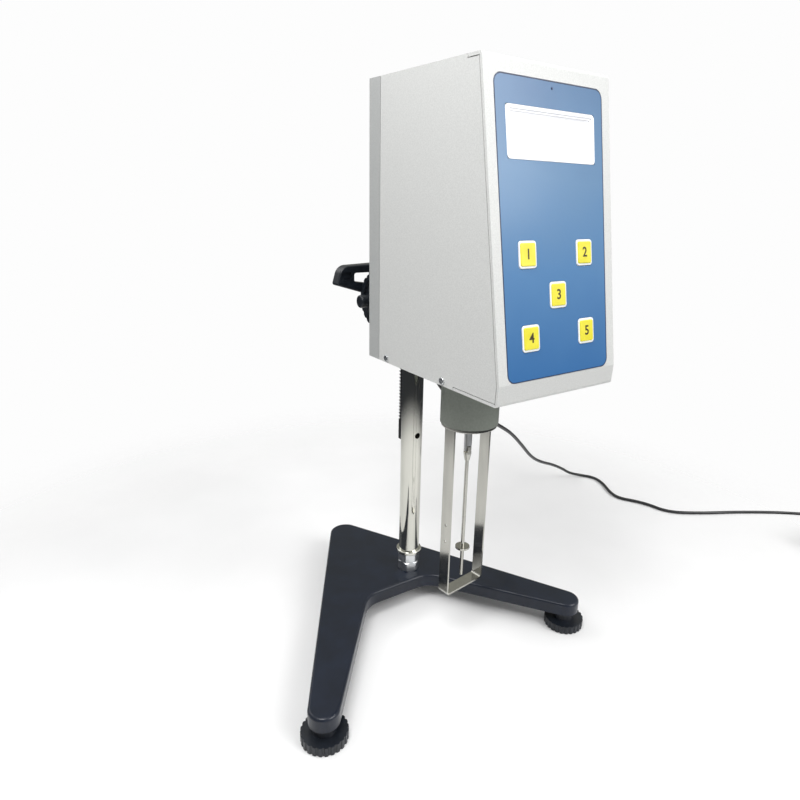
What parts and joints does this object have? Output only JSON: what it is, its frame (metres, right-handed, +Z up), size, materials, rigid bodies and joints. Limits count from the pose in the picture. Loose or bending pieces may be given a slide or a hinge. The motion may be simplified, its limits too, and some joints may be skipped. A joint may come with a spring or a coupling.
{
  "type": "rotational viscometer",
  "caption": "Bench rotational viscometer: head with display and keys, guarded spindle, on a rack-and-pinion column stand.",
  "frame": {"origin": "on the table under the middle of the instrument without its lead", "axes": "+Z up along the column, -Y the front with the display, +X to the right of someone facing the front"},
  "size_m": [0.7227, 0.3406, 0.4706],
  "materials": {
    "black_enamel": "glossy black stove enamel on cast iron",
    "black_plastic": "moulded black plastic",
    "zinc_steel": "zinc plated steel",
    "chrome": "hard chrome, polished",
    "black_steel": "blackened steel",
    "steel": "ground steel",
    "lift_block_paint": "grey painted casting",
    "brass": "machined brass",
    "grey_paint": "silver grey satin paint on sheet steel",
    "blue_film": "printed film on a panel, blue",
    "window": "clear printed window with a light field",
    "electronics": "circuit board and display module",
    "level_glass": "clear vial with tinted spirit",
    "key_yellow": "yellow key film",
    "collar_grey": "grey green satin paint",
    "stainless": "polished stainless steel",
    "cord": "black flexible sheath"
  },
  "bodies": {
    "stand": {"base_casting": "black_enamel", "column": "chrome", "column_cap": "chrome", "column_ring": "chrome", "lock_nuts": "zinc_steel", "rack": "black_steel", "rack_screws": "black_steel", "lead_run": "cord", "lead_coil": "cord", "power_adaptor": "black_plastic"},
    "foot_left": {"foot_stem_left": "zinc_steel"},
    "knob_left": {"foot_knob_left": "black_plastic"},
    "foot_right": {"foot_stem_right": "zinc_steel"},
    "knob_right": {"foot_knob_right": "black_plastic"},
    "foot_rear": {"foot_stem_rear": "zinc_steel"},
    "knob_rear": {"foot_knob_rear": "black_plastic"},
    "carriage": {"lift_block": "lift_block_paint", "column_bushes": "brass", "block_screws": "black_steel", "clamp_shoe": "brass", "rear_chassis": "grey_paint", "cover_shell": "grey_paint", "front_plate": "grey_paint", "bottom_plate": "grey_paint", "side_screws": "zinc_steel", "switch_housing": "black_plastic", "membrane_panel": "blue_film", "lcd_window": "window", "lcd_module": "electronics", "control_board": "electronics", "bubble_level": "level_glass", "gear_bracket": "zinc_steel", "shaft_bearings": "steel", "motor": "steel", "optical_gates": "black_plastic", "dc_jack": "black_plastic", "collar": "collar_grey", "power_plug": "black_plastic", "lead_drop": "cord"},
    "pinion": {"rack_pinion": "steel", "hand_knob": "black_plastic"},
    "clamp_lever": {"clamp_screw": "steel", "lever_handle": "black_plastic"},
    "rocker": {"switch_rocker": "black_plastic"},
    "drive": {"drive_shaft": "steel", "drive_gear": "brass"},
    "motor_rotor": {"motor_pinion": "brass"},
    "measuring": {"measuring_shaft": "steel", "lower_disc": "stainless", "torsion_spring": "steel"},
    "joint": {"joint_cross": "stainless"},
    "spindle": {"coupling_nut": "stainless", "spindle": "stainless"},
    "guard": {"guard_ring": "stainless", "guard_strip": "stainless"},
    "key_1": {"key_1": "key_yellow"},
    "key_2": {"key_2": "key_yellow"},
    "key_3": {"key_3": "key_yellow"},
    "key_4": {"key_4": "key_yellow"},
    "key_5": {"key_5": "key_yellow"}
  },
  "joints": [
    {"name": "lift", "type": "slide", "parent": "stand", "child": "carriage", "axis": [0, 0, 1], "range_m": [-0.05, 0.065]},
    {"name": "pinion_turn", "type": "hinge", "parent": "carriage", "child": "pinion", "pos_m": [0.02796, 0.05102, 0.297], "axis": [1, 0, 0], "range_deg": [-360, 470]},
    {"name": "clamp_turn", "type": "hinge", "parent": "carriage", "child": "clamp_lever", "pos_m": [0.02796, 0.06402, 0.316], "axis": [0, 1, 0], "range_deg": [-60, 30]},
    {"name": "rocker_tilt", "type": "hinge", "parent": "carriage", "child": "rocker", "pos_m": [0.06396, 0.01262, 0.29], "axis": [1, 0, 0], "range_deg": [-9, 9]},
    {"name": "drive_spin", "type": "hinge", "parent": "carriage", "child": "drive", "pos_m": [0.02796, -0.05188, 0.3], "axis": [0, 0, 1], "continuous": true},
    {"name": "motor_spin", "type": "hinge", "parent": "carriage", "child": "motor_rotor", "pos_m": [0.02796, -0.02788, 0.3], "axis": [0, 0, 1], "continuous": true},
    {"name": "deflection", "type": "hinge", "parent": "drive", "child": "measuring", "pos_m": [0.02796, -0.05188, 0.3], "axis": [0, 0, 1], "range_deg": [0, 80], "stiffness_Nm_per_rad": 0.000048},
    {"name": "joint_swing_x", "type": "hinge", "parent": "measuring", "child": "joint", "pos_m": [0.02796, -0.05188, 0.1872], "axis": [1, 0, 0], "range_deg": [-6, 6]},
    {"name": "joint_swing_y", "type": "hinge", "parent": "joint", "child": "spindle", "pos_m": [0.02796, -0.05188, 0.1872], "axis": [0, 1, 0], "range_deg": [-6, 6]},
    {"name": "guard_turn", "type": "hinge", "parent": "carriage", "child": "guard", "pos_m": [0.02796, -0.05188, 0.21], "axis": [0, 0, 1], "range_deg": [-90, 90]},
    {"name": "foot_left_height", "type": "slide", "parent": "stand", "child": "foot_left", "axis": [0, 0, 1], "range_m": [-0.003, 0.0024]},
    {"name": "foot_left_turn", "type": "hinge", "parent": "foot_left", "child": "knob_left", "pos_m": [-0.12442, -0.08424, 0.006], "axis": [0, 0, 1], "range_deg": [-870, 700]},
    {"name": "foot_right_height", "type": "slide", "parent": "stand", "child": "foot_right", "axis": [0, 0, 1], "range_m": [-0.003, 0.0024]},
    {"name": "foot_right_turn", "type": "hinge", "parent": "foot_right", "child": "knob_right", "pos_m": [0.12442, -0.09292, 0.006], "axis": [0, 0, 1], "range_deg": [-870, 700]},
    {"name": "foot_rear_height", "type": "slide", "parent": "stand", "child": "foot_rear", "axis": [0, 0, 1], "range_m": [-0.003, 0.0024]},
    {"name": "foot_rear_turn", "type": "hinge", "parent": "foot_rear", "child": "knob_rear", "pos_m": [0.00747, 0.12548, 0.006], "axis": [0, 0, 1], "range_deg": [-870, 700]},
    {"name": "key_1_press", "type": "slide", "parent": "carriage", "child": "key_1", "axis": [0, 0.9855, -0.1697], "range_m": [0, 0.0005], "stiffness_N_per_m": 2500},
    {"name": "key_2_press", "type": "slide", "parent": "carriage", "child": "key_2", "axis": [0, 0.9855, -0.1697], "range_m": [0, 0.0005], "stiffness_N_per_m": 2500},
    {"name": "key_3_press", "type": "slide", "parent": "carriage", "child": "key_3", "axis": [0, 0.9855, -0.1697], "range_m": [0, 0.0005], "stiffness_N_per_m": 2500},
    {"name": "key_4_press", "type": "slide", "parent": "carriage", "child": "key_4", "axis": [0, 0.9855, -0.1697], "range_m": [0, 0.0005], "stiffness_N_per_m": 2500},
    {"name": "key_5_press", "type": "slide", "parent": "carriage", "child": "key_5", "axis": [0, 0.9855, -0.1697], "range_m": [0, 0.0005], "stiffness_N_per_m": 2500}
  ],
  "couplings": [
    {"joint": "pinion_turn", "follows": "lift", "rad_per_m": 125},
    {"joint": "motor_spin", "follows": "drive_spin", "ratio": -4},
    {"joint": "foot_left_turn", "follows": "foot_left_height", "rad_per_m": 5026.5},
    {"joint": "foot_right_turn", "follows": "foot_right_height", "rad_per_m": 5026.5},
    {"joint": "foot_rear_turn", "follows": "foot_rear_height", "rad_per_m": 5026.5}
  ]
}
